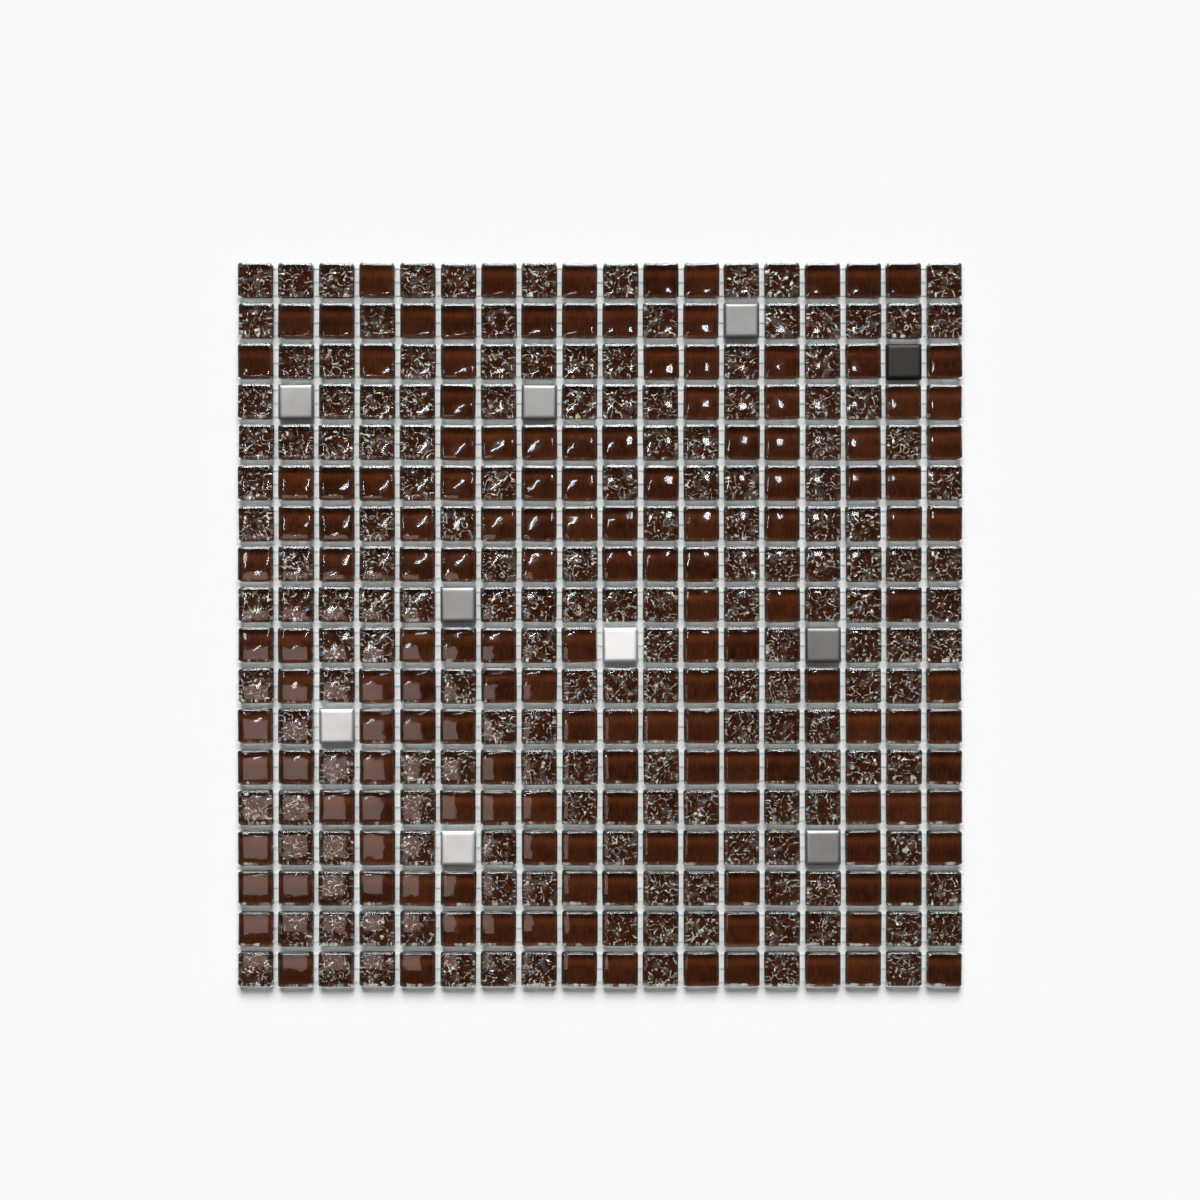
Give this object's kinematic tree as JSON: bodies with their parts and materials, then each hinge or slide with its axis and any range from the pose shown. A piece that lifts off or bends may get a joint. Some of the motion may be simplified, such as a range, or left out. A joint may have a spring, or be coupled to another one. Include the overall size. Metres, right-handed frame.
{
  "type": "mosaic tile sheet",
  "caption": "Square sheet of small brown smooth and crackle glass mosaic tiles with a few steel-capped ones, glued to an open glass-fibre net.",
  "frame": {"origin": "centre of the sheet's underside, on the net", "axes": "+Z out of the polished face, +Y towards the edge that is the top one when the sheet is hung"},
  "size_m": [0.2996, 0.2996, 0.0045],
  "materials": {
    "smooth_glass": "clear glass with a dark brown coat on its back, polished face",
    "crackle_glass": "clear glass over crackled silver foil on a brown coat, polished face",
    "steel": "brushed stainless steel, pressed",
    "ceramic": "unglazed, matt",
    "net": "white glass-fibre yarn"
  },
  "bodies": {
    "root": {"ceramic_core_01": "ceramic", "ceramic_core_02": "ceramic", "ceramic_core_03": "ceramic", "ceramic_core_04": "ceramic", "ceramic_core_05": "ceramic", "ceramic_core_06": "ceramic", "ceramic_core_07": "ceramic", "ceramic_core_08": "ceramic", "ceramic_core_09": "ceramic", "ceramic_core_10": "ceramic", "crackle_glass_row_01": "crackle_glass", "crackle_glass_row_02": "crackle_glass", "crackle_glass_row_03": "crackle_glass", "crackle_glass_row_04": "crackle_glass", "crackle_glass_row_05": "crackle_glass", "crackle_glass_row_06": "crackle_glass", "crackle_glass_row_07": "crackle_glass", "crackle_glass_row_08": "crackle_glass", "crackle_glass_row_09": "crackle_glass", "crackle_glass_row_10": "crackle_glass", "crackle_glass_row_11": "crackle_glass", "crackle_glass_row_12": "crackle_glass", "crackle_glass_row_13": "crackle_glass", "crackle_glass_row_14": "crackle_glass", "crackle_glass_row_15": "crackle_glass", "crackle_glass_row_16": "crackle_glass", "crackle_glass_row_17": "crackle_glass", "crackle_glass_row_18": "crackle_glass", "net_warp_yarns": "net", "net_weft_yarns": "net", "smooth_glass_row_01": "smooth_glass", "smooth_glass_row_02": "smooth_glass", "smooth_glass_row_03": "smooth_glass", "smooth_glass_row_04": "smooth_glass", "smooth_glass_row_05": "smooth_glass", "smooth_glass_row_06": "smooth_glass", "smooth_glass_row_07": "smooth_glass", "smooth_glass_row_08": "smooth_glass", "smooth_glass_row_09": "smooth_glass", "smooth_glass_row_10": "smooth_glass", "smooth_glass_row_11": "smooth_glass", "smooth_glass_row_12": "smooth_glass", "smooth_glass_row_13": "smooth_glass", "smooth_glass_row_14": "smooth_glass", "smooth_glass_row_15": "smooth_glass", "smooth_glass_row_16": "smooth_glass", "smooth_glass_row_17": "smooth_glass", "smooth_glass_row_18": "smooth_glass", "steel_cap_01": "steel", "steel_cap_02": "steel", "steel_cap_03": "steel", "steel_cap_04": "steel", "steel_cap_05": "steel", "steel_cap_06": "steel", "steel_cap_07": "steel", "steel_cap_08": "steel", "steel_cap_09": "steel", "steel_cap_10": "steel"}
  },
  "joints": []
}
